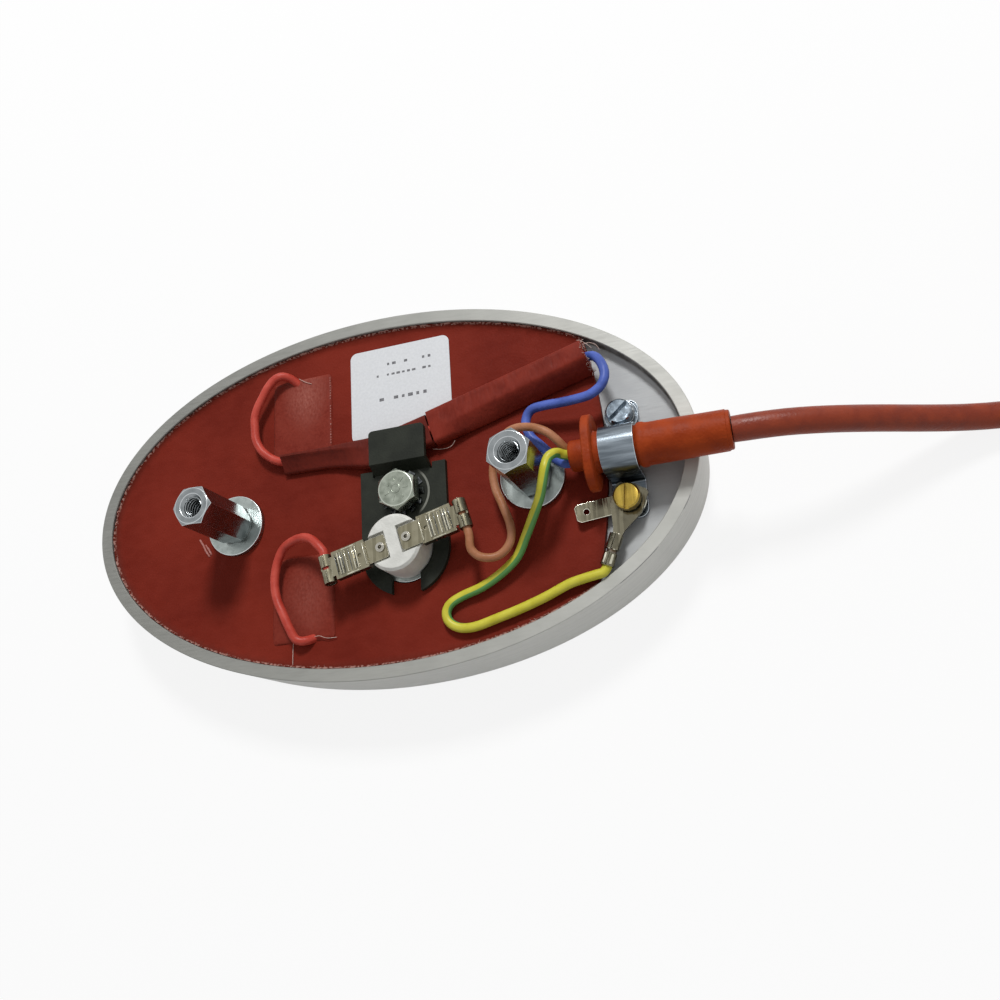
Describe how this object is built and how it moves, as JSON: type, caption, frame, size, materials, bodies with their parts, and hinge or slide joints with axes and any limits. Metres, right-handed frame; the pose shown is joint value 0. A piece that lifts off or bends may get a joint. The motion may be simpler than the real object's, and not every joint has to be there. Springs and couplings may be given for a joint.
{
  "type": "heat press heating plate",
  "caption": "Oval aluminium heating plate for a small heat press, with silicone heater mat, standoffs, clamped heat switch, cable gland and supply cable.",
  "frame": {"origin": "middle of the oval plate on its flat heating face", "axes": "+X along the long axis towards the cable, +Z out of the wired side, heating face down"},
  "size_m": [0.3424, 0.1342, 0.0402],
  "materials": {
    "plate_aluminium": "milled and sanded, dull",
    "mat_silicone": "matt, fabric texture",
    "lead_silicone": "satin",
    "sleeve_silicone": "satin, coated braid",
    "label_film": "matt white",
    "clamp_black": "black finish, satin",
    "zinc_plate": "zinc plated",
    "strap_zinc": "zinc plated, bluish",
    "ceramic": "matt white ceramic",
    "cap_aluminium": "plain",
    "tinned_brass": "tinned",
    "plain_brass": "bright",
    "tinned_copper": "tinned",
    "gland_silicone": "satin moulded",
    "sheath_silicone": "satin",
    "blue_silicone": "satin",
    "brown_silicone": "satin",
    "earth_silicone": "satin, two colours"
  },
  "bodies": {
    "root": {"heating_plate": "plate_aluminium", "heating_mat": "mat_silicone", "lead_patch_upper": "mat_silicone", "lead_patch_lower": "mat_silicone", "rating_label": "label_film", "red_lead_upper": "lead_silicone", "red_lead_lower": "lead_silicone", "narrow_sleeve": "sleeve_silicone", "wide_sleeve": "sleeve_silicone", "butt_splice": "tinned_copper", "clamp_bracket": "clamp_black", "bracket_bolt": "zinc_plate", "bracket_lock_washer": "zinc_plate", "switch_body": "ceramic", "switch_cap": "cap_aluminium", "switch_terminal_left": "tinned_brass", "switch_terminal_right": "tinned_brass", "terminal_rivets": "tinned_copper", "receptacle_left": "tinned_brass", "receptacle_right": "tinned_brass", "standoff_left": "zinc_plate", "standoff_right": "zinc_plate", "standoff_washer_left": "zinc_plate", "standoff_washer_right": "zinc_plate", "cable_strap": "strap_zinc", "strap_screw": "strap_zinc", "strap_spring_washer": "zinc_plate", "strap_flat_washer": "zinc_plate", "earth_screw": "plain_brass", "earth_lock_washer": "zinc_plate", "earth_base_washer": "zinc_plate", "earth_tab": "tinned_brass", "earth_ring_terminal": "tinned_brass", "cable_gland": "gland_silicone", "blue_conductor": "blue_silicone", "brown_conductor": "brown_silicone", "earth_conductor": "earth_silicone", "supply_cable": "sheath_silicone", "cable_coil": "sheath_silicone", "cable_tail": "sheath_silicone", "tail_conductor_blue": "blue_silicone", "tail_conductor_brown": "brown_silicone", "tail_conductor_earth": "earth_silicone", "end_ferrules": "tinned_copper"}
  },
  "joints": []
}
